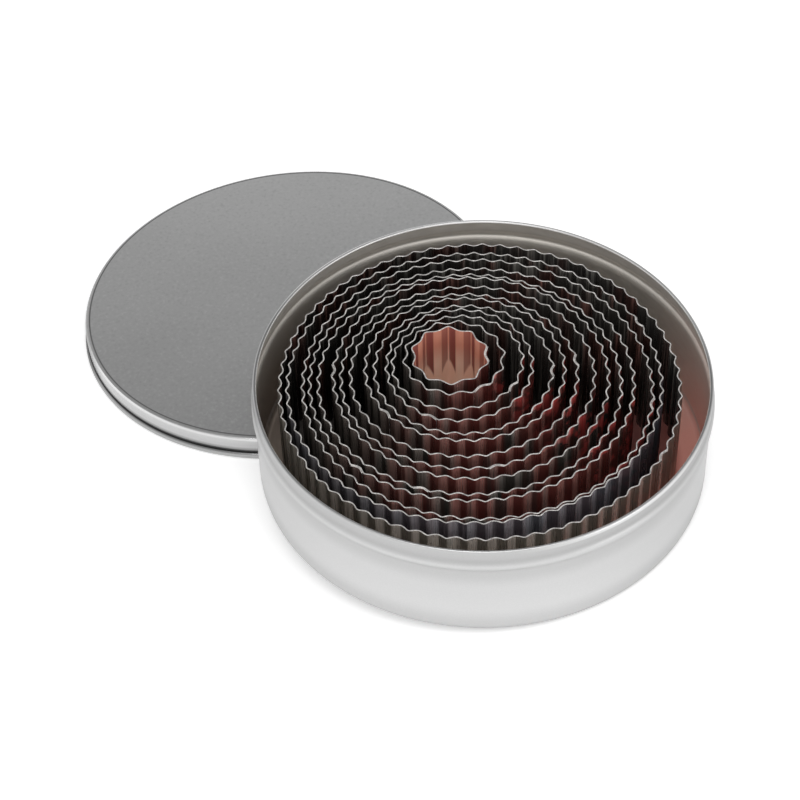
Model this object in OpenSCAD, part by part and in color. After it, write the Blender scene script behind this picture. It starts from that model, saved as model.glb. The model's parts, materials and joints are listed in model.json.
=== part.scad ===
// A set of round fluted biscuit cutters, nested in an open round tin.
// The tin leans on the edge of its own slip lid, which lies flat on the table beside it.
// Millimetres. +Z is up, +X runs from the lid to the tin, and the origin is on the table,
// under the middle of the whole set.

/* [Tin] */
// Outer diameter of the tin's wall, and of the neck that the lid slides over
tin_d = 123.2; // [122:0.2:126]
// Height of the tin from its base to the top of its rim
tin_h = 32; // [30.5:0.1:36]
// Distance from the top of the rim down to the crest of the rib that stops the lid
rib_drop = 6; // [5:0.1:8]
// How far the rib stands out from the wall
rib_out = 0.7; // [0.4:0.05:0.8]
// Height of the rib above its crest, where it runs out into the neck
rib_rise = 2.6; // [1.6:0.1:2.8]
// Height of the rib below its crest, where it runs out into the wall
rib_fall = 1.6; // [1.6:0.1:2.8]
// Thickness of the rolled rim
rim_roll_d = 1; // [0.9:0.1:2]
// Outer radius of the tin's bottom edge
base_edge_r = 2.2; // [1.5:0.1:4]
// Thickness of the tin's sheet
tin_sheet = 0.35; // [0.25:0.05:0.5]

/* [Lid] */
// Height of the lid from the table to its top
lid_h = 7.5; // [7:0.1:9]
// Gap between the neck and the lid's skirt
lid_gap = 0.15; // [0.1:0.05:0.4]
// Outer radius of the lid's top edge
lid_edge_r = 1.3; // [0.8:0.1:2]
// Height of the rolled bead round the lid's mouth
bead_h = 2.1; // [1.4:0.1:2.6]
// How far the bead stands out from the skirt
bead_out = 0.8; // [0.5:0.05:1]
// Thickness of the lid's sheet
lid_sheet = 0.3; // [0.25:0.05:0.4]

/* [Placing] */
// Distance from the lid's centre to the centre of the tin's base
lid_to_tin = 89.5; // [82:0.5:96]
// Gap left between the lid's edge and the base that rests on it
rest_gap = 0.05; // [0.02:0.01:0.2]

/* [Cutters] */
// Height of every cutter
cutter_h = 28.4; // [20:0.1:28.5]
// Thickness of the cutters' strip
strip = 0.35; // [0.3:0.05:0.4]
// Depth of a flute from crest to valley
flute_depth = 0.95; // [0.8:0.05:1.1]
// Depth of a flute on the two smallest cutters
small_flute_depth = 1.3; // [1:0.05:1.5]

/* [Hidden] */
// Mean diameters of the cutters, from the smallest to the largest
CUTTER_D = [20.6, 27, 35.3, 40.7, 48.1, 53.8, 61, 68.2, 74.7, 81.6, 86.8, 95, 100.3, 108.3];
// Flutes round each cutter, which keep to about 4.9 mm of strip each, and to 6.3 mm on the two smallest
CUTTER_FLUTES = [10, 14, 23, 26, 31, 35, 39, 44, 48, 52, 57, 61, 65, 69];
SMALL_CUTTERS = 2;
// Where each cutter's centre has slid to on the tin's floor, from the tin's axis
CUTTER_AT = [
    [-13.7, 0], [-12.4, 0.4], [-10.4, 0], [-9.5, -0.1], [-7.6, -0.3], [-7.6, 0.2], [-6.2, -1.3],
    [-5.1, -0.9], [-4.6, -0.2], [-3.2, -1.8], [-3, -1.3], [-1.1, -0.9], [-2.1, -1.1], [-0.5, -0.6]
];
// How far each cutter is turned in the tin
CUTTER_TURN = [34.7, 6.4, 10.6, 0.5, 7.4, 6.8, 8.3, 1.6, 6.6, 1.3, 2.8, 2.3, 1.7, -1.8];
// How far each thin ring is sprung out of round, and the direction in the tin of its longest diameter
CUTTER_OVAL = [0.25, 0.1, 0.4, 0.6, 0.05, 0.15, 0.15, 0.3, 0.3, 0.15, 0.25, 0.7, 0.2, 0.4];
CUTTER_LONG_WAY = [-20, -45, -85, -45, -90, 30, 60, 85, -20, 0, 60, -20, 70, -30];
// Number of the flute at which each cutter's strip overlaps itself, counted from its +X side
SEAM_FLUTE = [0, 13, 0, 21, 3, 25, 5, 40, 29, 43, 43, 6, 13, 4];
CUTTERS = len(CUTTER_D);

tin_r = tin_d / 2;
rib_r = tin_r + rib_out;
rib_z = tin_h - rib_drop;
roll_r = rim_roll_d / 2;
skirt_r = tin_r + lid_gap + lid_sheet;
bead_r = bead_h / 2;

// A flank of the rib is two equal arcs, which turn out of the wall and back to upright at the crest
function flank_turn(height) = 2 * atan(rib_out / height);
function flank_r(height) = height / (2 * sin(flank_turn(height)));

// The tin leans until its bottom edge meets the table and its flat base meets the lid's top edge
function tin_lean(steps, lean) = steps == 0 ? lean : tin_lean(
    steps - 1,
    asin((cos(lean) * (lid_h - lid_edge_r - base_edge_r * (1 - cos(lean))) + lid_edge_r + rest_gap)
        / (lid_to_tin - (skirt_r - lid_edge_r) + (tin_r - base_edge_r) * cos(lean)))
);
lean = tin_lean(12, 5);
tin_z = (tin_r - base_edge_r) * sin(lean) + base_edge_r * (1 - cos(lean));

// The set is centred on the origin, between the lid's bead and the furthest point of the tin
bead_reach = skirt_r + bead_out;
rib_reach = (rib_r - flank_r(rib_rise)) * cos(lean) + rib_z * sin(lean) + flank_r(rib_rise);
rim_reach = (tin_r - roll_r) * cos(lean) + (tin_h - roll_r) * sin(lean) + roll_r;
lid_x = (bead_reach - lid_to_tin - max(rib_reach, rim_reach)) / 2;
tin_x = lid_x + lid_to_tin;

ARC_STEPS = 8;
$fn = 96;

// Points of an arc about [x, z], from one angle to another
function arc(x, z, r, from, to) = [
    for (i = [0:ARC_STEPS]) let (a = from + (to - from) * i / ARC_STEPS) [x + r * cos(a), z + r * sin(a)]
];

// Moves a shape from the tin's own axis to where the leaning tin stands
module in_tin() {
    translate([tin_x, 0, tin_z]) rotate([0, lean, 0]) children();
}

// Outline of the rib from the wall up to the neck, at a depth below the tin's outer face
function rib(depth) = let (
    fall_r = flank_r(rib_fall),
    fall_turn = flank_turn(rib_fall),
    rise_r = flank_r(rib_rise),
    rise_turn = flank_turn(rib_rise)
) concat(
    arc(tin_r + fall_r, rib_z - rib_fall, fall_r + depth, 180, 180 - fall_turn),
    arc(rib_r - fall_r, rib_z, fall_r - depth, -fall_turn, 0),
    arc(rib_r - rise_r, rib_z, rise_r - depth, 0, rise_turn),
    arc(tin_r + rise_r, rib_z + rib_rise, rise_r + depth, 180 + rise_turn, 180)
);

// The drawn tin: flat base, rounded bottom edge, wall, rib, neck and rolled rim in one sheet
module tin() {
    roll_x = tin_r - roll_r;
    roll_z = tin_h - roll_r;
    roll_end = 360 - acos((roll_r - tin_sheet) / roll_r);
    outside = concat(
        [[0, 0]],
        arc(tin_r - base_edge_r, base_edge_r, base_edge_r, -90, 0),
        rib(0),
        arc(roll_x, roll_z, roll_r, 0, 180),
        arc(roll_x, roll_z, roll_r, 180, roll_end)
    );
    inside = concat(
        [[0, tin_sheet]],
        arc(tin_r - base_edge_r, base_edge_r, base_edge_r - tin_sheet, -90, 0),
        rib(tin_sheet)
    );
    color("gainsboro") in_tin() rotate_extrude()
        polygon(concat(outside, [for (i = [len(inside) - 1:-1:0]) inside[i]]));
}

// The drawn slip lid, which lies with its mouth on the table
module lid() {
    bead_x = skirt_r + bead_out - bead_r;
    bead_top = acos((skirt_r - bead_x) / bead_r);
    bead_end = -acos((skirt_r - lid_sheet - bead_x) / bead_r);
    outside = concat(
        [[0, lid_h]],
        arc(skirt_r - lid_edge_r, lid_h - lid_edge_r, lid_edge_r, 90, 0),
        arc(bead_x, bead_r, bead_r, bead_top, bead_end)
    );
    inside = concat(
        arc(skirt_r - lid_edge_r, lid_h - lid_edge_r, lid_edge_r - lid_sheet, 0, 90),
        [[0, lid_h - lid_sheet]]
    );
    color("darkgray") translate([lid_x, 0, 0]) rotate_extrude()
        polygon(concat(outside, inside));
}

// A flute's wave goes from 1 at its pointed crest to -1 in its round valley
CREST_POWER = 1.3;
function wave(angle) = 1 - 2 * pow(abs(sin(angle / 2)), CREST_POWER);
function depth(k) = k < SMALL_CUTTERS ? small_flute_depth : flute_depth;

// The middle line of cutter k's strip, where k counts from 0 and the angle a from the cutter's own +X
function strip_r(k, a) = CUTTER_D[k] / 2 + depth(k) / 2 * wave(CUTTER_FLUTES[k] * a)
    + CUTTER_OVAL[k] * cos(2 * (a + CUTTER_TURN[k] - CUTTER_LONG_WAY[k]));
function on_strip(k, a) = strip_r(k, a) * [cos(a), sin(a)];

// A point at a distance outside the strip's middle line
LOOK = 0.2;
function beside_strip(k, a, out) = let (
    ahead = on_strip(k, a + LOOK),
    behind = on_strip(k, a - LOOK),
    along = (ahead - behind) / norm(ahead - behind)
) on_strip(k, a) + out * [along[1], -along[0]];

// The seam is a second layer of strip over one flute
POINTS_PER_FLUTE = 6;
function layers(flute, seam) = flute == seam ? 1.5 : 0.5;

// One cutter: a fluted strip bent to a ring, standing on the tin's floor
module cutter(k) {
    count = CUTTER_FLUTES[k];
    step = 360 / count / POINTS_PER_FLUTE;
    outline = [
        for (flute = [0:count - 1]) for (i = [0:POINTS_PER_FLUTE - 1])
            beside_strip(k, (flute * POINTS_PER_FLUTE + i) * step, layers(flute, SEAM_FLUTE[k]) * strip)
    ];
    hole = [
        for (i = [0:count * POINTS_PER_FLUTE - 1]) beside_strip(k, i * step, -0.5 * strip)
    ];
    color("silver") in_tin()
        translate([CUTTER_AT[k][0], CUTTER_AT[k][1], tin_sheet])
        rotate([0, 0, CUTTER_TURN[k]])
        linear_extrude(cutter_h) difference() {
            polygon(outline);
            polygon(hole);
        }
}

tin();
lid();
for (k = [0:CUTTERS - 1]) {
    cutter(k);
}
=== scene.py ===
"""A set of fluted biscuit cutters, nested in an open round tin that leans on the edge of its slip lid."""

import json
import math

import bpy
from mathutils import Matrix, Vector


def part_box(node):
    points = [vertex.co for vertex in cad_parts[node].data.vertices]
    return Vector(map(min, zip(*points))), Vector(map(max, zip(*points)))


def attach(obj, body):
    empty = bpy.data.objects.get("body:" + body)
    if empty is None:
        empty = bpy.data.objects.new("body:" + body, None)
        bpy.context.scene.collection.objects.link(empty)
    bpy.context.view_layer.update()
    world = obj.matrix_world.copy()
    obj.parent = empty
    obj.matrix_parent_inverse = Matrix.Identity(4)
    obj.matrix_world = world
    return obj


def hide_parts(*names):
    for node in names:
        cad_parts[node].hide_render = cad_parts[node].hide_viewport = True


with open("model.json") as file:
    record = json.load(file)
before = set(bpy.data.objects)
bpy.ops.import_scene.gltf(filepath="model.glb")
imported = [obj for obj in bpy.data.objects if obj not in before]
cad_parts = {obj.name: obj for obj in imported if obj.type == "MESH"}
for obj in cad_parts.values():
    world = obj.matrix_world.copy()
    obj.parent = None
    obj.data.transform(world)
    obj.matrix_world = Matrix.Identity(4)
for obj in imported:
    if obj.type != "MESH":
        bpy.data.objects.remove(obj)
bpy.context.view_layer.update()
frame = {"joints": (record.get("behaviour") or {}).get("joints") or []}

MM = 0.001

# The tin, in millimetres, as the CAD model has it
TIN_R = 61.6
TIN_H = 32.0
RIB_Z = TIN_H - 6.0
RIB_OUT = 0.7
RIB_RISE = 2.6
RIB_FALL = 1.6
RIM_ROLL_R = 0.5
BASE_EDGE_R = 2.2
TIN_SHEET = 0.35

# The lid
LID_H = 7.5
LID_EDGE_R = 1.3
LID_SHEET = 0.3
LID_GAP = 0.15
SKIRT_R = TIN_R + LID_GAP + LID_SHEET
BEAD_R = 1.05
BEAD_OUT = 0.8

# The cutters: mean diameter, flutes, slide of the centre on the tin's floor, turn, how far it is sprung
# out of round, the direction of its longest diameter, and the seam's flute
CUTTER_H = 28.4
STRIP = 0.35
CUTTERS = [
    (20.6, 10, (-13.7, 0.0), 34.7, 0.25, -20, 0),
    (27.0, 14, (-12.4, 0.4), 6.4, 0.10, -45, 13),
    (35.3, 23, (-10.4, 0.0), 10.6, 0.40, -85, 0),
    (40.7, 26, (-9.5, -0.1), 0.5, 0.60, -45, 21),
    (48.1, 31, (-7.6, -0.3), 7.4, 0.05, -90, 3),
    (53.8, 35, (-7.6, 0.2), 6.8, 0.15, 30, 25),
    (61.0, 39, (-6.2, -1.3), 8.3, 0.15, 60, 5),
    (68.2, 44, (-5.1, -0.9), 1.6, 0.30, 85, 40),
    (74.7, 48, (-4.6, -0.2), 6.6, 0.30, -20, 29),
    (81.6, 52, (-3.2, -1.8), 1.3, 0.15, 0, 43),
    (86.8, 57, (-3.0, -1.3), 2.8, 0.25, 60, 43),
    (95.0, 61, (-1.1, -0.9), 2.3, 0.70, -20, 6),
    (100.3, 65, (-2.1, -1.1), 1.7, 0.20, 70, 13),
    (108.3, 69, (-0.5, -0.6), -1.8, 0.40, -30, 4),
]
SMALL_CUTTERS = 2
FLUTE_DEPTH = 0.95
SMALL_FLUTE_DEPTH = 1.3

# How the tin leans and where it stands, from the frame
LIFT_AXIS = Vector(next(j for j in frame["joints"] if j["name"] == "cutter_01_lift")["axis"])
LEAN = math.atan2(LIFT_AXIS.x, LIFT_AXIS.z)
LID_LOW, LID_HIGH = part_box("lid")
LID_X = (LID_LOW.x + LID_HIGH.x) / 2
LID_TO_TIN = 89.5 * MM
TIN_Z = ((TIN_R - BASE_EDGE_R) * math.sin(LEAN) + BASE_EDGE_R * (1 - math.cos(LEAN))) * MM
IN_TIN = Matrix.Translation((LID_X + LID_TO_TIN, 0, TIN_Z)) @ Matrix.Rotation(LEAN, 4, "Y")
ON_TABLE = Matrix.Translation((LID_X, 0, 0))

# The photograph's camera, fitted to the rims and bases that it shows
CAMERA_AT = (0.40900, -0.27616, 0.45137)
CAMERA_HEADING = 145.523
CAMERA_DOWN = 42.751
CAMERA_ROLL = -5.856
CAMERA_NEAREST = 0.01
FOCAL_PIXELS = 2300.5
PHOTO_PIXELS = 800
SENSOR = 36.0

# The floor, the world and the lamps: name, place, size and power
FLOOR_COLOUR = (0.93, 0.93, 0.93, 1)
FLOOR_HALF = 4.0
FLOOR_GLOW_REFLECTED = 0.26
FLOOR_GLOW_SEEN = 0.40
WORLD_FADE = {"From Min": 0.3, "From Max": 0.75, "To Min": 1.0, "To Max": 0.45}
LAMPS = [
    ("key", (0.42, -0.27, 1.05), 0.7, 4.2),
    ("side", (1.0, 0.30, 0.20), 0.4, 0.9),
]


def make_camera():
    heading, down, roll = (math.radians(a) for a in (CAMERA_HEADING, CAMERA_DOWN, CAMERA_ROLL))
    ahead = Vector((math.cos(heading) * math.cos(down), math.sin(heading) * math.cos(down), -math.sin(down)))
    level = Vector((math.sin(heading), -math.cos(heading), 0))
    upright = level.cross(ahead)
    right = level * math.cos(roll) + upright * math.sin(roll)
    up = upright * math.cos(roll) - level * math.sin(roll)
    data = bpy.data.cameras.new("camera")
    data.sensor_width = SENSOR
    data.lens = FOCAL_PIXELS / PHOTO_PIXELS * SENSOR
    data.clip_start = CAMERA_NEAREST
    camera = bpy.data.objects.new("camera", data)
    camera.matrix_world = Matrix.Translation(CAMERA_AT) @ Matrix((right, up, -ahead)).transposed().to_4x4()
    bpy.context.scene.collection.objects.link(camera)
    bpy.context.scene.camera = camera


# Materials

# Most of a noise's values lie in this range
NOISE_RANGE = (0.3, 0.7)


class Nodes:
    """A short way to write a material's nodes."""

    def __init__(self, name):
        self.material = bpy.data.materials.new(name)
        self.material.use_nodes = True
        self.tree = self.material.node_tree
        self.shader = self.tree.nodes["Principled BSDF"]
        self.place = self.add("ShaderNodeTexCoord").outputs["Object"]

    def add(self, kind, inputs=None, **settings):
        made = self.tree.nodes.new(kind)
        for key, value in settings.items():
            setattr(made, key, value)
        for key, value in (inputs or {}).items():
            self.feed(made.inputs[key], value)
        return made

    def feed(self, socket, value):
        if isinstance(value, bpy.types.NodeSocket):
            self.tree.links.new(value, socket)
        else:
            socket.default_value = value

    def math(self, operation, *values):
        made = self.add("ShaderNodeMath", operation=operation)
        for socket, value in zip(made.inputs, values):
            self.feed(socket, value)
        return made.outputs[0]

    def times(self, a, b):
        return self.math("MULTIPLY", a, b)

    def parts(self, vector):
        return self.add("ShaderNodeSeparateXYZ", {0: vector}).outputs[:3]

    def join(self, x, y, z):
        return self.add("ShaderNodeCombineXYZ", {0: x, 1: y, 2: z}).outputs[0]

    def attribute(self, name):
        return self.add("ShaderNodeAttribute", attribute_name=name).outputs["Fac"]

    def noise(self, at, scale, detail=3.0, rough=0.5):
        inputs = {"Vector": at, "Scale": scale, "Detail": detail, "Roughness": rough}
        return self.add("ShaderNodeTexNoise", inputs).outputs["Fac"]

    def span(self, value, low, high, to_low=0.0, to_high=1.0, smooth=False):
        inputs = {"Value": value, "From Min": low, "From Max": high, "To Min": to_low, "To Max": to_high}
        kind = "SMOOTHSTEP" if smooth else "LINEAR"
        return self.add("ShaderNodeMapRange", inputs, interpolation_type=kind).outputs[0]

    def near(self, value, centre, far, close, smooth=True):
        """1 within a close distance of the centre, down to 0 at a far one."""
        distance = self.math("ABSOLUTE", self.math("SUBTRACT", value, centre))
        return self.span(distance, far, close, smooth=smooth)

    def facing(self, side, centre, low, high):
        """1 round one direction and 0 away from it, by the cosine between them, so there is no seam."""
        cosine = self.math("COSINE", self.math("SUBTRACT", side, centre))
        return self.span(cosine, low, high, smooth=True)

    def along(self, x, y, way):
        """How far a point lies in a level direction."""
        return self.math("ADD", self.times(x, way[0]), self.times(y, way[1]))

    def length(self, x, y):
        return self.math("SQRT", self.math("ADD", self.times(x, x), self.times(y, y)))

    def ramp(self, value, low, high, stops):
        """A grey that follows a line of (place, grey) stops between low and high."""
        made = self.add("ShaderNodeValToRGB", {"Fac": self.span(value, low, high)})
        made.color_ramp.interpolation = "EASE"
        elements = made.color_ramp.elements
        while len(elements) < len(stops):
            elements.new(0.5)
        for element, (place, tone) in zip(elements, stops):
            element.position = (place - low) / (high - low)
            element.color = (tone, tone, tone, 1)
        return made.outputs["Color"]

    def mix(self, share, a, b, blend="MIX"):
        made = self.add("ShaderNodeMix", data_type="RGBA", blend_type=blend)
        for socket, value in zip((made.inputs[0], made.inputs[6], made.inputs[7]), (share, a, b)):
            self.feed(socket, value)
        return made.outputs[2]

    def scaled(self, colour, factor):
        """A colour made lighter or darker by a factor."""
        return self.mix(1.0, colour, factor, "MULTIPLY")

    def shaded(self, colour, share, factor):
        """A colour that takes a factor where the share is 1."""
        return self.scaled(colour, self.mix(share, grey(1.0), factor))

    def vary(self, noise, low, high):
        """A number that a noise moves between two values."""
        return self.span(noise, *NOISE_RANGE, low, high)

    def tint(self, noise, pair):
        """A colour that a noise moves between two."""
        return self.mix(self.span(noise, *NOISE_RANGE), *pair)

    def bump(self, height, depth, strength):
        inputs = {"Height": height, "Distance": depth, "Strength": strength}
        return self.add("ShaderNodeBump", inputs).outputs["Normal"]


def grey(value, warm=0.0):
    """A colour near grey: warm above 0 adds red and takes blue."""
    return (value * (1 + warm), value, value * (1 - warm), 1)


def around(nodes, stretch_z):
    """Coordinates that run round the tin's axis, so that marks lie along the drawn wall."""
    x, y, z = nodes.parts(nodes.place)
    angle = nodes.math("ARCTAN2", y, x)
    return nodes.join(nodes.math("COSINE", angle), nodes.math("SINE", angle), nodes.times(z, stretch_z))


def upright(nodes, squeeze):
    """Coordinates squeezed in height, so that marks run up the strip."""
    x, y, z = nodes.parts(nodes.place)
    return nodes.join(x, y, nodes.times(z, squeeze))


# Directions round a piece's own axis, in radians from +X, where the photograph shows its tone change
# Painted light, shade and reflections in the materials below are placed by these directions
TIN_FRONT = -0.82
TIN_GLEAM = 0.05
TIN_ROSY_REFLECTION = 0.62
TIN_BACK = 2.3
TIN_LEFT = -2.3
LID_LEFT = -2.35
CUTTER_RED_REFLECTION = -0.1
CUTTER_RED_GLINT = 0.5
CUTTER_LEFT = -2.35
CUTTER_INNER_LEFT = -2.8

# Tone of the tin's outside by height in metres: painted shade at the foot, under the rib and on the neck,
# and a painted highlight on the rib's upper flank
OUTSIDE_PAINTED_SHADING = [
    (0.0, 0.50), (0.003, 0.61), (0.009, 0.70), (0.017, 0.68), (0.0235, 0.58),
    (0.0252, 0.54), (0.0267, 0.66), (0.0280, 0.50), (0.0302, 0.55), (0.0316, 0.57),
]
# Painted shade on the sides turned away from the front
SHADE_AWAY_FROM_FRONT = grey(0.83)

# The rolled rim's painted highlights and painted shade, as factors and a tone, and in metres where each comes
# in
RIM_GLEAM = grey(1.45)
RIM_GLEAM_Z = (0.0305, 0.0310)
RIM_BACK_HIGHLIGHT = grey(0.97)
RIM_BACK_Z = (0.0308, 0.0312)
RIM_INNER_SIDE_SHADE = grey(0.55)
RIM_OUTER_SIDE_R = (0.06115, 0.06130)


def tinplate_outside():
    """Satin tinplate: pale, with a fine drawn grain, and painted shade and highlights by height, by side and
    on the rim.
    """
    n = Nodes("tinplate_outside")
    x, y, z = n.parts(n.place)
    side = n.math("ARCTAN2", y, x)
    grain = n.noise(around(n, 900.0), scale=9.0, detail=4.0, rough=0.6)
    tooth = n.noise(n.place, scale=2600.0, detail=2.0)
    # Painted shade and highlight by height
    tone = n.ramp(z, 0.0, TIN_H * MM, OUTSIDE_PAINTED_SHADING)
    # Painted shade away from the front
    front = n.near(side, TIN_FRONT, far=1.5, close=0.3)
    tone = n.scaled(tone, n.mix(front, SHADE_AWAY_FROM_FRONT, grey(1.0)))
    # Painted highlights on the rim towards one side and at the back
    gleam = n.times(n.near(side, TIN_GLEAM, far=0.65, close=0.15), n.span(z, *RIM_GLEAM_Z))
    tone = n.shaded(tone, gleam, RIM_GLEAM)
    back = n.times(n.facing(side, TIN_BACK, 0.1, 0.6), n.span(z, *RIM_BACK_Z))
    tone = n.mix(back, tone, RIM_BACK_HIGHLIGHT)
    # Painted shade on the inner side of the rolled rim
    outer_side = n.span(n.length(x, y), *RIM_OUTER_SIDE_R)
    tone = n.scaled(tone, n.mix(outer_side, RIM_INNER_SIDE_SHADE, grey(1.0)))
    n.feed(n.shader.inputs["Base Color"], n.scaled(tone, n.tint(tooth, (grey(0.96), grey(1.0)))))
    n.shader.inputs["Metallic"].default_value = 1.0
    n.feed(n.shader.inputs["Roughness"], n.vary(grain, 0.34, 0.42))
    n.feed(n.shader.inputs["Normal"], n.bump(n.math("ADD", grain, tooth), depth=0.00002, strength=0.5))
    return n.material


# The tin's inside, as single colours and pairs that a noise moves between
TAUPE = ((0.66, 0.62, 0.57, 1), (0.72, 0.68, 0.63, 1))
# Painted warm reflection on the wall and floor towards one side
ROSY_REFLECTION = ((1.0, 0.57, 0.50, 1), (1.0, 0.64, 0.57, 1))
ROSY_FLOOR_REFLECTION = (1.0, 0.50, 0.42, 1)
# Painted shade on the floor under the cutters, going over to a painted dull red reflection at one side
UNDER_CUTTERS_SHADE = ((0.30, 0.265, 0.25, 1), (0.38, 0.34, 0.32, 1))
UNDER_CUTTERS_RED_REFLECTION = ((0.44, 0.13, 0.11, 1), (0.60, 0.20, 0.17, 1))
LEFT_SHADE = (0.60, 0.54, 0.51, 1)
# Painted highlight along the ledge inside the rib
LEDGE_HIGHLIGHT = (0.86, 0.83, 0.78, 1)
# Painted shade in the corner between the inner wall and the floor
CORNER_SHADE = (0.62, 0.57, 0.54, 1)
CORNER_SHARE = 0.8
# Painted highlight on the top of the rolled rim
INNER_RIM_HIGHLIGHT = (0.95, 0.94, 0.92, 1)
PLAIN_METAL = 0.65
LEDGE_ROUGHNESS = 0.25

# Where these lie in the tin, in metres: from where each starts to where it is full
LOW_WALL_Z = (0.027, 0.008)
ROSY_TOP_Z = (0.0300, 0.0275)
LEDGE_Z = 0.0247
CORNER_Z = 0.0015
INNER_RIM_Z = (0.0312, 0.0315)
FLOOR_Z = (0.0016, 0.0008)
UNDER_CUTTERS_R = (0.0560, 0.0520)
RED_FLOOR_WAY = (0.955, 0.296)
RED_FLOOR = (-0.005, 0.046)


def tinplate_inside():
    """The tin's inner face: taupe grey, going over to a painted rosy reflection towards one side, with
    painted shade and highlights.
    """
    n = Nodes("tinplate_inside")
    x, y, z = n.parts(n.place)
    side = n.math("ARCTAN2", y, x)
    streak = n.noise(around(n, 60.0), scale=14.0)
    low = n.span(z, *LOW_WALL_Z, smooth=True)
    # Painted rosy reflection towards one side, strongest low down
    rosy = n.times(n.near(side, TIN_ROSY_REFLECTION, far=1.05, close=0.15), n.span(low, 0.0, 1.0, 0.35, 1.0))
    rosy = n.times(rosy, n.span(z, *ROSY_TOP_Z))
    left = n.facing(side, TIN_LEFT, 0.36, 0.98)
    plain = n.shaded(n.tint(streak, TAUPE), n.times(left, low), LEFT_SHADE)
    wall = n.mix(rosy, plain, n.tint(streak, ROSY_REFLECTION))
    # Painted highlight along the ledge, strongest at the back
    ledge = n.near(z, LEDGE_Z, far=0.0018, close=0.0006)
    back = n.facing(side, TIN_BACK, 0.07, 0.92)
    wall = n.mix(n.times(ledge, n.span(back, 0.0, 1.0, 0.2, 0.5)), wall, LEDGE_HIGHLIGHT)
    # Painted shade in the bottom corner
    corner = n.near(z, CORNER_Z, far=0.0006, close=0.0002)
    wall = n.mix(n.times(corner, CORNER_SHARE), wall, CORNER_SHADE)
    # Painted highlight on the rim's top
    wall = n.mix(n.span(z, *INNER_RIM_Z), wall, INNER_RIM_HIGHLIGHT)
    floor = n.span(z, *FLOOR_Z)
    wall = n.mix(n.times(floor, rosy), wall, ROSY_FLOOR_REFLECTION)
    # Painted shade under the cutters, with a painted red reflection towards one side
    patch = n.noise(n.place, scale=110.0, rough=0.6)
    right = n.span(n.along(x, y, RED_FLOOR_WAY), *RED_FLOOR, smooth=True)
    under = n.mix(right, n.tint(patch, UNDER_CUTTERS_SHADE), n.tint(patch, UNDER_CUTTERS_RED_REFLECTION))
    nested = n.times(floor, n.span(n.length(x, y), *UNDER_CUTTERS_R, smooth=True))
    n.feed(n.shader.inputs["Base Color"], n.mix(nested, wall, under))
    n.feed(n.shader.inputs["Metallic"], n.span(n.mix(nested, rosy, right), 0.0, 1.0, PLAIN_METAL, 0.0))
    satin = n.vary(streak, 0.34, 0.42)
    n.feed(n.shader.inputs["Roughness"], n.math("ADD", satin, n.times(ledge, LEDGE_ROUGHNESS)))
    tooth = n.noise(n.place, scale=1800.0, detail=2.0)
    n.feed(n.shader.inputs["Normal"], n.bump(tooth, depth=0.00001, strength=0.5))
    return n.material


# Painted light: the lid's top gets lighter in one level direction, over a range in metres from its middle
LID_LIGHTER_WAY = (-0.82, 0.57)
LID_LIGHTER = (-0.06, 0.06)
LID_PAINTED_LIGHT_TONES = (grey(0.365), grey(0.52))
LID_CLOUD = (grey(0.93), grey(1.07))
LID_SPECKS = (grey(0.28), grey(0.62))
SPECK_SHARE = 0.22
# Painted shade in a thin line round the edge of the flat top
LID_EDGE_SHADE = grey(0.16)
LID_LINE_R = 0.0606


def lid_top():
    """Matt mid-grey tinplate with a fine speckle, painted lighter to one side, and a thin line of painted
    shade round its edge.
    """
    n = Nodes("lid_top")
    x, y, _ = n.parts(n.place)
    speckle = n.noise(n.place, scale=900.0, rough=0.6)
    cloud = n.noise(n.place, scale=26.0, detail=2.0)
    tooth = n.noise(n.place, scale=2800.0, detail=2.0)
    # Painted light across the lid's top
    across = n.span(n.along(x, y, LID_LIGHTER_WAY), *LID_LIGHTER)
    base = n.scaled(n.mix(across, *LID_PAINTED_LIGHT_TONES), n.mix(cloud, *LID_CLOUD))
    base = n.mix(n.span(speckle, 0.44, 0.30, 0.0, SPECK_SHARE), base, LID_SPECKS[0])
    base = n.mix(n.span(speckle, 0.56, 0.70, 0.0, SPECK_SHARE), base, LID_SPECKS[1])
    # Painted shade line round the edge
    line = n.near(n.length(x, y), LID_LINE_R, far=0.0003, close=0.0001, smooth=False)
    n.feed(n.shader.inputs["Base Color"], n.mix(line, base, LID_EDGE_SHADE))
    n.shader.inputs["Metallic"].default_value = 1.0
    n.feed(n.shader.inputs["Roughness"], n.vary(speckle, 0.60, 0.50))
    n.feed(n.shader.inputs["Normal"], n.bump(n.math("ADD", speckle, tooth), depth=0.00003, strength=0.5))
    return n.material


# Tone of the lid's bead, groove and skirt by height in metres: painted shade on the bead's top and in the
# groove
# above it, and a painted highlight on the rounded top edge
SKIRT_PAINTED_SHADING = [
    (0.0, 0.62), (0.0006, 0.55), (0.0014, 0.45), (0.0019, 0.38), (0.0021, 0.02),
    (0.0027, 0.05), (0.0034, 0.40), (0.0042, 0.60), (0.0064, 0.64), (0.0072, 0.90),
]
SKIRT_LEFT_SHADE = grey(0.45)


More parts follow.
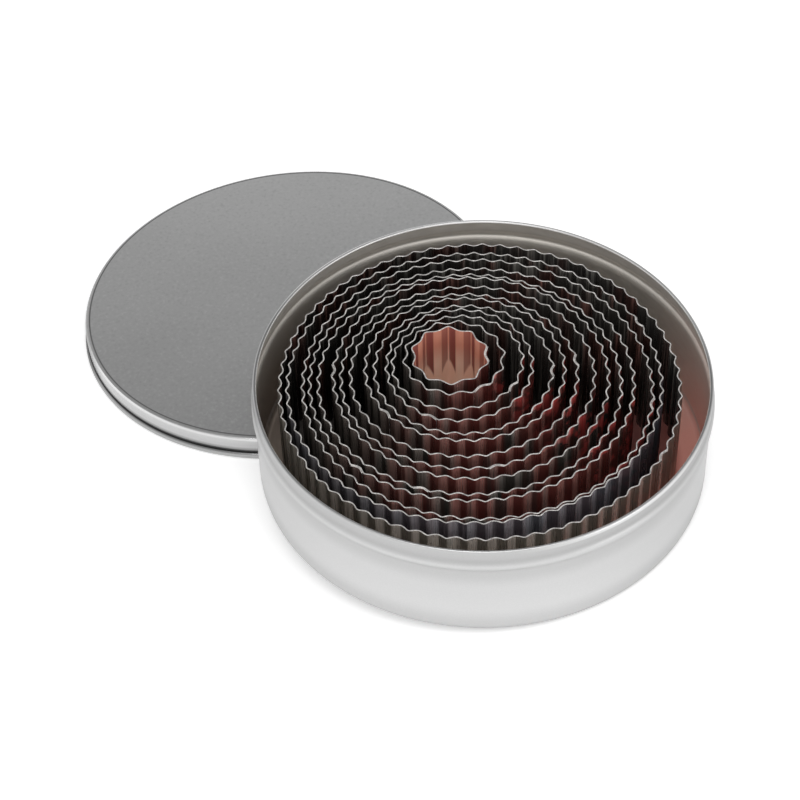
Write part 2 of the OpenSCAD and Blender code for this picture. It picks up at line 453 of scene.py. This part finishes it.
def lid_skirt():
    """The lid's skirt and bead: the same tinplate, burnished by the drawing die, with painted shade in the
    groove above the bead.
    """
    n = Nodes("lid_skirt")
    x, y, z = n.parts(n.place)
    grain = n.noise(around(n, 1200.0), scale=8.0, detail=4.0, rough=0.6)
    left = n.facing(n.math("ARCTAN2", y, x), LID_LEFT, 0.80, 0.97)
    tone = n.shaded(n.ramp(z, 0.0, LID_H * MM, SKIRT_PAINTED_SHADING), left, SKIRT_LEFT_SHADE)
    n.feed(n.shader.inputs["Base Color"], n.scaled(tone, n.tint(grain, (grey(0.94), grey(1.0)))))
    n.shader.inputs["Metallic"].default_value = 1.0
    n.feed(n.shader.inputs["Roughness"], n.vary(grain, 0.20, 0.28))
    n.feed(n.shader.inputs["Normal"], n.bump(grain, depth=0.00001, strength=0.5))
    return n.material


# The cutters' outer faces, as pairs that a streak moves between
NESTED_OUTER = ((0.10, 0.09, 0.08, 1), (0.62, 0.56, 0.51, 1))
BLUISH_OUTER = ((0.18, 0.18, 0.21, 1), (0.92, 0.92, 1.0, 1))
OLIVE_OUTER = ((0.25, 0.24, 0.21, 1), (0.97, 0.94, 0.88, 1))
# Painted red reflection on one side, with painted red glints
RED_REFLECTION = ((0.28, 0.07, 0.06, 1), (0.95, 0.42, 0.36, 1))
RED_GLINT = ((0.42, 0.06, 0.055, 1), (1.0, 0.32, 0.29, 1))
OUTER_LEFT_SHADE = grey(0.58, 0.03)
OUTER_METAL = 0.7
# Painted light and shade across each flute: lighter on one flank and towards the valleys
FLANK_LIGHT = 0.22
CREST_LIGHT = -0.12
STREAK_SQUEEZE = 0.03


def cutter_outer(name, tones, red_reflection_share):
    """The strip's outer face: painted light and shade that follow its flutes, fine streaks, and a painted red
    reflection and red glints on one side.
    """
    n = Nodes(name)
    x, y, _ = n.parts(n.place)
    side = n.math("ARCTAN2", y, x)
    streak = n.noise(upright(n, STREAK_SQUEEZE), scale=1100.0, rough=0.6)
    broad = n.noise(upright(n, STREAK_SQUEEZE), scale=130.0, detail=2.0)
    patch = n.noise(n.place, scale=170.0, rough=0.6)
    # Painted light and shade across each flute
    flank_light = n.times(n.attribute("flank"), FLANK_LIGHT)
    crest_light = n.times(n.attribute("crest"), CREST_LIGHT)
    flute_light = n.math("ADD", flank_light, crest_light)
    line = n.span(n.math("ADD", streak, flute_light), 0.36, 0.74, smooth=True)
    left = n.facing(side, CUTTER_LEFT, 0.07, 0.66)
    plain = n.shaded(n.mix(line, *tones), left, OUTER_LEFT_SHADE)
    # Painted red reflection towards one side, and painted red glints
    towards = n.near(side, CUTTER_RED_REFLECTION, far=1.9, close=0.6)
    red = n.times(n.times(towards, red_reflection_share), n.span(broad, 0.36, 0.52, smooth=True))
    glint = n.times(n.near(side, CUTTER_RED_GLINT, far=0.75, close=0.2), n.span(patch, 0.48, 0.58, smooth=True))
    glint = n.times(glint, red_reflection_share)
    tinted = n.mix(red, plain, n.mix(line, *RED_REFLECTION))
    n.feed(n.shader.inputs["Base Color"], n.mix(glint, tinted, n.mix(line, *RED_GLINT)))
    n.feed(n.shader.inputs["Metallic"], n.span(glint, 0.0, 1.0, OUTER_METAL, 0.0))
    n.feed(n.shader.inputs["Roughness"], n.vary(streak, 0.34, 0.24))
    n.feed(n.shader.inputs["Normal"], n.bump(streak, depth=0.00002, strength=0.4))
    return n.material


INNER_DARK = ((0.06, 0.055, 0.05, 1), (0.41, 0.39, 0.355, 1))
INNER_BROWN = ((0.07, 0.035, 0.03, 1), (0.50, 0.24, 0.20, 1))
INNER_LEFT_SHADE = grey(0.48)


def cutter_inner():
    """The strip's inner face: dark and glossy, faintly green, with a few brown streaks."""
    n = Nodes("cutter_inner")
    x, y, _ = n.parts(n.place)
    streak = n.noise(upright(n, STREAK_SQUEEZE), scale=900.0, rough=0.6)
    broad = n.noise(upright(n, STREAK_SQUEEZE), scale=90.0, detail=2.0)
    line = n.span(streak, 0.46, 0.74, smooth=True)
    brown = n.span(broad, 0.48, 0.60, smooth=True)
    painted = n.mix(brown, n.mix(line, *INNER_DARK), n.mix(line, *INNER_BROWN))
    left = n.facing(n.math("ARCTAN2", y, x), CUTTER_INNER_LEFT, 0.1, 0.8)
    n.feed(n.shader.inputs["Base Color"], n.shaded(painted, left, INNER_LEFT_SHADE))
    n.shader.inputs["Metallic"].default_value = 0.5
    n.feed(n.shader.inputs["Roughness"], n.vary(streak, 0.28, 0.18))
    n.feed(n.shader.inputs["Normal"], n.bump(streak, depth=0.00002, strength=0.4))
    return n.material


# Painted salmon reflection, darker high up and paler low down, and painted shade on the flutes' flanks
SALMON_HIGH = ((0.66, 0.29, 0.20, 1), (0.74, 0.33, 0.23, 1))
SALMON_LOW = ((1.0, 0.68, 0.52, 1), (1.0, 0.76, 0.60, 1))
SALMON_Z = (0.0235, 0.0145)
FLANK_SHADE = (0.27, 0.07, 0.06, 1)
FLANK_SHADE_Z = (0.0115, 0.0135)
FLANK_SHADE_SLANT = -0.0030


def smallest_inner():
    """The smallest cutter's inner face: a painted salmon reflection, with pale crest lines and painted shade
    on the flanks that fades low down.
    """
    n = Nodes("smallest_inner")
    _, _, z = n.parts(n.place)
    streak = n.noise(upright(n, 0.05), scale=500.0)
    crest = n.attribute("crest")
    valley = n.span(crest, -0.30, -0.52, smooth=True)
    tip = n.span(crest, 0.93, 0.98, smooth=True)
    # Painted shade on the flanks, fading low down
    fade = n.span(n.math("ADD", z, n.times(crest, FLANK_SHADE_SLANT)), *FLANK_SHADE_Z, smooth=True)
    shade = n.times(n.math("SUBTRACT", 1.0, n.math("MAXIMUM", valley, tip)), fade)
    shade = n.times(shade, n.span(n.attribute("flank"), -1.0, 1.0, 0.95, 0.65))
    salmon = n.mix(n.span(z, *SALMON_Z, smooth=True), n.tint(streak, SALMON_HIGH), n.tint(streak, SALMON_LOW))
    n.feed(n.shader.inputs["Base Color"], n.mix(shade, salmon, FLANK_SHADE))
    n.shader.inputs["Roughness"].default_value = 0.45
    return n.material


def cutter_edge():
    """The cut edges of the strip: bare and bright."""
    n = Nodes("cutter_edge")
    nick = n.noise(n.place, scale=900.0, detail=4.0, rough=0.6)
    tone = n.mix(n.span(nick, 0.35, 0.65), grey(0.48, 0.03), grey(0.95, 0.03))
    n.feed(n.shader.inputs["Base Color"], tone)
    n.shader.inputs["Metallic"].default_value = 1.0
    n.feed(n.shader.inputs["Roughness"], n.vary(nick, 0.34, 0.48))
    return n.material


# Meshes

SHARP_ANGLE = math.radians(35.0)
LATHE_SEGMENTS = 256
CORNER_STEPS = 12
RIB_STEPS = 8
ROLL_STEPS = 24
LID_EDGE_STEPS = 10
LID_INNER_STEPS = 8
BEAD_STEPS = 20

# Radii of the rings that divide a flat round face
FLAT_RINGS = (20, 40)


def make_piece(name, points, faces, materials, at):
    """A smooth-shaded mesh from points in millimetres and (corners, material number) faces."""
    mesh = bpy.data.meshes.new(name)
    mesh.from_pydata([Vector(p) * MM for p in points], [], [corners for corners, _ in faces])
    for material in materials:
        mesh.materials.append(material)
    for polygon, (_, number) in zip(mesh.polygons, faces):
        polygon.material_index = number
        polygon.use_smooth = True
    mesh.set_sharp_from_angle(angle=SHARP_ANGLE)
    mesh.validate()
    piece = bpy.data.objects.new(name, mesh)
    bpy.context.scene.collection.objects.link(piece)
    piece.matrix_world = at
    return piece


def arc(x, z, r, start, end, steps):
    turns = [math.radians(start + (end - start) * i / steps) for i in range(steps + 1)]
    return [(x + r * math.cos(a), z + r * math.sin(a)) for a in turns]


def lathe(name, outline, materials, number_of, at):
    """Turns an outline of (radius, height) points about the axis, where it starts and ends."""
    turns = [2 * math.pi * i / LATHE_SEGMENTS for i in range(LATHE_SEGMENTS)]
    points = []
    rings = []
    for r, z in outline:
        if r == 0:
            rings.append([len(points)] * LATHE_SEGMENTS)
            points.append((0, 0, z))
        else:
            rings.append(list(range(len(points), len(points) + LATHE_SEGMENTS)))
            points += [(r * math.cos(a), r * math.sin(a), z) for a in turns]
    faces = []
    for ring, (low, high) in enumerate(zip(rings, rings[1:])):
        number = number_of(ring)
        for i in range(LATHE_SEGMENTS):
            j = (i + 1) % LATHE_SEGMENTS
            corners = []
            for corner in (low[i], low[j], high[j], high[i]):
                if corner not in corners:
                    corners.append(corner)
            faces.append((corners, number))
    return make_piece(name, points, faces, materials, at)


def flank(height):
    """Turn in degrees and radius of the two equal arcs that make one flank of the rib."""
    turn = 2 * math.atan(RIB_OUT / height)
    return math.degrees(turn), height / (2 * math.sin(turn))


def rib(inset):
    """Outline of the rib from the wall up to the neck, at a depth below the outer face."""
    fall_turn, fall_r = flank(RIB_FALL)
    rise_turn, rise_r = flank(RIB_RISE)
    crest = TIN_R + RIB_OUT
    foot_z = RIB_Z - RIB_FALL
    top_z = RIB_Z + RIB_RISE
    line = arc(TIN_R + fall_r, foot_z, fall_r + inset, 180, 180 - fall_turn, RIB_STEPS)
    line += arc(crest - fall_r, RIB_Z, fall_r - inset, -fall_turn, 0, RIB_STEPS)
    line += arc(crest - rise_r, RIB_Z, rise_r - inset, 0, rise_turn, RIB_STEPS)[1:]
    return line + arc(TIN_R + rise_r, top_z, rise_r + inset, 180 + rise_turn, 180, RIB_STEPS)[1:]


def make_tin(outside, inside):
    """One drawn sheet: base, rounded edge, wall, rib, neck and a rim rolled inwards."""
    support = 0.4
    roll_end = 300
    roll_foot = 0.9
    outer_roll_faces = 11
    inner_r = TIN_R - TIN_SHEET
    edge_r = TIN_R - BASE_EDGE_R
    rib_foot = RIB_Z - RIB_FALL - support
    rib_top = RIB_Z + RIB_RISE + support
    roll_z = TIN_H - RIM_ROLL_R
    flat_rings = (*FLAT_RINGS, edge_r - support)
    base = [(0, 0)] + [(r, 0) for r in flat_rings]
    corner = arc(edge_r, BASE_EDGE_R, BASE_EDGE_R, -90, 0, CORNER_STEPS)
    wall = [(TIN_R, BASE_EDGE_R + support), (TIN_R, rib_foot)]
    neck = [(TIN_R, rib_top), (TIN_R, roll_z - support)]
    roll = arc(TIN_R - RIM_ROLL_R, roll_z, RIM_ROLL_R, 0, roll_end, ROLL_STEPS)
    outer = base + corner + wall + rib(0) + neck + roll
    inner = [(inner_r, roll_z - roll_foot), (inner_r, rib_top)] + rib(TIN_SHEET)[::-1]
    inner += [(inner_r, rib_foot), (inner_r, BASE_EDGE_R + support)]
    inner += arc(edge_r, BASE_EDGE_R, BASE_EDGE_R - TIN_SHEET, 0, -90, CORNER_STEPS)
    inner += [(r, TIN_SHEET) for r in flat_rings[::-1]] + [(0, TIN_SHEET)]
    first_inner = len(outer) - len(roll) + outer_roll_faces
    faces = [outside, inside]
    return lathe("tin_shell", outer + inner, faces, lambda ring: int(ring >= first_inner), IN_TIN)


def make_lid(top, skirt):
    """One drawn sheet: flat top, rounded edge, skirt and rolled bead."""
    support = 0.3
    wall_foot = 2.2 * BEAD_R
    inner_foot = 0.4
    outer_ring = 55
    top_edge_faces = 4
    edge_x = SKIRT_R - LID_EDGE_R
    edge_z = LID_H - LID_EDGE_R
    inner_r = SKIRT_R - LID_SHEET
    inner_z = LID_H - LID_SHEET
    bead_x = SKIRT_R + BEAD_OUT - BEAD_R
    bead_top = math.degrees(math.acos((SKIRT_R - bead_x) / BEAD_R))
    bead_end = -math.degrees(math.acos((inner_r - bead_x) / BEAD_R))
    flat = [(0, LID_H)] + [(r, LID_H) for r in (*FLAT_RINGS, outer_ring, edge_x - support)]
    edge = arc(edge_x, edge_z, LID_EDGE_R, 90, 0, LID_EDGE_STEPS)
    wall = [(SKIRT_R, edge_z - support), (SKIRT_R, wall_foot)]
    bead = arc(bead_x, BEAD_R, BEAD_R, bead_top, bead_end, BEAD_STEPS)
    inner = [(inner_r, inner_foot), (inner_r, edge_z - support)]
    inner += arc(edge_x, edge_z, LID_EDGE_R - LID_SHEET, 0, 90, LID_INNER_STEPS)
    inner += [(FLAT_RINGS[1], inner_z), (0, inner_z)]
    outline = flat + edge + wall + bead + inner
    first_skirt = len(flat) + top_edge_faces
    return lathe("lid_shell", outline, [top, skirt], lambda ring: int(ring >= first_skirt), ON_TABLE)


POINTS_PER_FLUTE = 16
CREST_POWER = 1.3
CREST_SOFTNESS = 0.02
EDGE_ROUND = 0.06
TANGENT_STEP = 0.002

# The lap of a seam: its gap to the ring, its outer face in strips, and its inset at both ends
SEAM_GAP = 0.02
LAP_OUT = 1.3
LAP_INSET = 0.05


def on_strip(number, a):
    """A point of the strip's middle line, where a flute has a pointed crest and a round valley."""
    d, flutes, _, turn, oval, long_way, _ = CUTTERS[number - 1]
    depth = SMALL_FLUTE_DEPTH if number <= SMALL_CUTTERS else FLUTE_DEPTH
    swing = math.sin(flutes * a / 2) ** 2
    soft = (swing + CREST_SOFTNESS) / (1 + CREST_SOFTNESS)
    r = d / 2 + depth / 2 * (1 - 2 * soft ** (CREST_POWER / 2))
    r += oval * math.cos(2 * (a + math.radians(turn - long_way)))
    return Vector((r * math.cos(a), r * math.sin(a), 0))


def strip_section(inner, outer, low, high):
    """Corners of the strip's cross-section, as (distance outside the middle line, height)."""
    b = EDGE_ROUND
    return [
        (inner, low + b), (inner + b, low), (outer - b, low), (outer, low + b),
        (outer, high - b), (outer - b, high), (inner + b, high), (inner, high - b),
    ]


# Material of each side of the section: 0 the outer face, 1 the cut edges, 2 the inner face
SECTION_MATERIALS = (1, 1, 1, 0, 1, 1, 1, 2)


def sweep(number, angles, section, closed, points, faces):
    """Sweeps a section along the fluted line and adds it to points and faces."""
    first = len(points)
    count = len(section)
    for a in angles:
        along = (on_strip(number, a + TANGENT_STEP) - on_strip(number, a - TANGENT_STEP)).normalized()
        out = Vector((along.y, -along.x, 0))
        for off, z in section:
            points.append(on_strip(number, a) + out * off + Vector((0, 0, z)))
    for i in range(len(angles) if closed else len(angles) - 1):
        here = first + i * count
        there = first + (i + 1) % len(angles) * count
        for k in range(count):
            m = (k + 1) % count
            faces.append(((here + k, here + m, there + m, there + k), SECTION_MATERIALS[k]))
    if not closed:
        last = first + (len(angles) - 1) * count
        faces.append((tuple(range(first + count - 1, first - 1, -1)), 1))
        faces.append((tuple(range(last, last + count)), 1))


def mark_flutes(piece, angles, flutes, count):
    """Stores where each point lies on its flute: the cosine is 1 on a crest and -1 in a valley."""
    for name, wave in (("crest", math.cos), ("flank", math.sin)):
        mark = piece.data.attributes.new(name, "FLOAT", "POINT")
        mark.data.foreach_set("value", [wave(flutes * a) for a in angles for _ in range(count)])


def make_cutter(number, steel, edge, inside):
    """One closed fluted ring, with the lap of its seam over one flute."""
    _, flutes, slide, turn, _, _, seam = CUTTERS[number - 1]
    step = 2 * math.pi / flutes / POINTS_PER_FLUTE
    points = []
    faces = []
    ring = [i * step for i in range(flutes * POINTS_PER_FLUTE)]
    section = strip_section(-STRIP / 2, STRIP / 2, 0, CUTTER_H)
    sweep(number, ring, section, True, points, faces)
    lap = [(seam * POINTS_PER_FLUTE + i) * step for i in range(1, POINTS_PER_FLUTE)]
    lap_section = strip_section(STRIP / 2 + SEAM_GAP, LAP_OUT * STRIP, LAP_INSET, CUTTER_H - LAP_INSET)
    sweep(number, lap, lap_section, False, points, faces)
    at = IN_TIN @ Matrix.Translation((slide[0] * MM, slide[1] * MM, TIN_SHEET * MM))
    at = at @ Matrix.Rotation(math.radians(turn), 4, "Z")
    piece = make_piece(f"fluted_cutter_{number:02d}", points, faces, [steel, edge, inside], at)
    mark_flutes(piece, ring + lap, flutes, len(section))
    return piece


# Stage

def make_floor():
    """A pale floor. A little glow for the camera and for reflections brings its colour up to white."""
    n = Nodes("floor")
    n.shader.inputs["Base Color"].default_value = FLOOR_COLOUR
    n.shader.inputs["Roughness"].default_value = 0.9
    n.shader.inputs["Specular IOR Level"].default_value = 0.1
    n.shader.inputs["Emission Color"].default_value = (1, 1, 1, 1)
    path = n.add("ShaderNodeLightPath").outputs
    reflected = n.math("MAXIMUM", path["Is Glossy Ray"], path["Is Transmission Ray"])
    seen = n.times(path["Is Camera Ray"], FLOOR_GLOW_SEEN)
    glow = n.math("ADD", n.times(reflected, FLOOR_GLOW_REFLECTED), seen)
    n.feed(n.shader.inputs["Emission Strength"], glow)
    corners = [(x * FLOOR_HALF, y * FLOOR_HALF, 0) for x, y in ((-1, -1), (1, -1), (1, 1), (-1, 1))]
    mesh = bpy.data.meshes.new("floor")
    mesh.from_pydata(corners, [], [(0, 1, 2, 3)])
    mesh.materials.append(n.material)
    floor = bpy.data.objects.new("floor", mesh)
    bpy.context.scene.collection.objects.link(floor)


def make_lamp(name, at, size, power):
    """A square lamp that points at the middle of the set."""
    data = bpy.data.lights.new(name, "AREA")
    data.shape = "SQUARE"
    data.size = size
    data.energy = power
    lamp = bpy.data.objects.new(name, data)
    lamp.location = at
    lamp.rotation_euler = (-Vector(at)).to_track_quat("-Z", "Y").to_euler()
    bpy.context.scene.collection.objects.link(lamp)


def make_light():
    """A pale world, white at the horizon and dimmer above, with a soft lamp overhead and one at the side."""
    world = bpy.data.worlds.new("world")
    bpy.context.scene.world = world
    world.use_nodes = True
    nodes = world.node_tree.nodes
    links = world.node_tree.links
    place = nodes.new("ShaderNodeTexCoord")
    split = nodes.new("ShaderNodeSeparateXYZ")
    fade = nodes.new("ShaderNodeMapRange")
    fade.interpolation_type = "SMOOTHSTEP"
    for key, value in WORLD_FADE.items():
        fade.inputs[key].default_value = value
    links.new(place.outputs["Generated"], split.inputs[0])
    links.new(split.outputs["Z"], fade.inputs["Value"])
    background = nodes["Background"]
    background.inputs["Color"].default_value = (1, 1, 1, 1)
    links.new(fade.outputs[0], background.inputs["Strength"])
    for lamp in LAMPS:
        make_lamp(*lamp)


make_camera()
make_floor()
make_light()

tin = make_tin(tinplate_outside(), tinplate_inside())
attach(tin, "tin")
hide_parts("tin")

lid = make_lid(lid_top(), lid_skirt())
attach(lid, "lid")
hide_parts("lid")

# The two largest cutters differ in tint from the nested ones, and take little of the painted red reflection
nested_faces = cutter_outer("cutter_outer", NESTED_OUTER, 0.95)
outer_faces = {
    13: cutter_outer("cutter_outer_bluish", BLUISH_OUTER, 0.15),
    14: cutter_outer("cutter_outer_olive", OLIVE_OUTER, 0.10),
}
inner_faces = cutter_inner()
rosy_faces = smallest_inner()
strip_edges = cutter_edge()
for number in range(1, len(CUTTERS) + 1):
    node = f"cutter_{number:02d}"
    outer = outer_faces.get(number, nested_faces)
    cutter = make_cutter(number, outer, strip_edges, rosy_faces if number == 1 else inner_faces)
    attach(cutter, node)
    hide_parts(node)

bpy.context.scene.view_settings.view_transform = "Standard"
